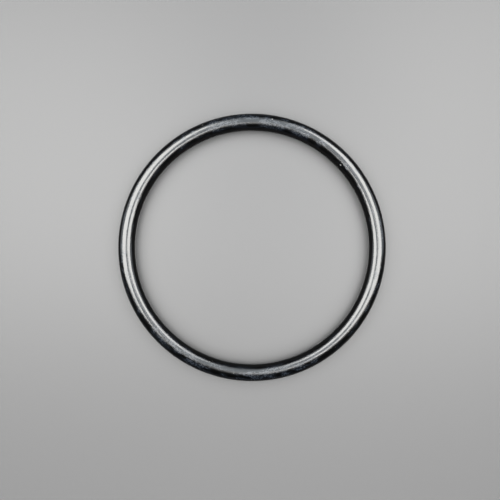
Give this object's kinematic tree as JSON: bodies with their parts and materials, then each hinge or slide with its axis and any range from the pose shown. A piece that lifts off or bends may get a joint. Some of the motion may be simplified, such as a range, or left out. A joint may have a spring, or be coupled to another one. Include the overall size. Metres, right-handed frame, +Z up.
{
  "type": "rubber o-ring",
  "caption": "Plain sealing ring of solid rubber with a round section, stretched over a shaft or laid in a groove and squeezed so that nothing leaks past.",
  "frame": {"origin": "on the ring's axis, at the surface that the ring lies on", "axes": "+Z up along the ring's axis. The shape is the same all round, so +X and +Y only place the dust and streaks on it"},
  "size_m": [0.064, 0.064, 0.004],
  "materials": {
    "nitrile_rubber": "near-black moulded rubber with a soft satin gloss, faint lengthwise streaks and a thin dusty bloom"
  },
  "bodies": {
    "root": {"o_ring": "nitrile_rubber"}
  },
  "joints": []
}
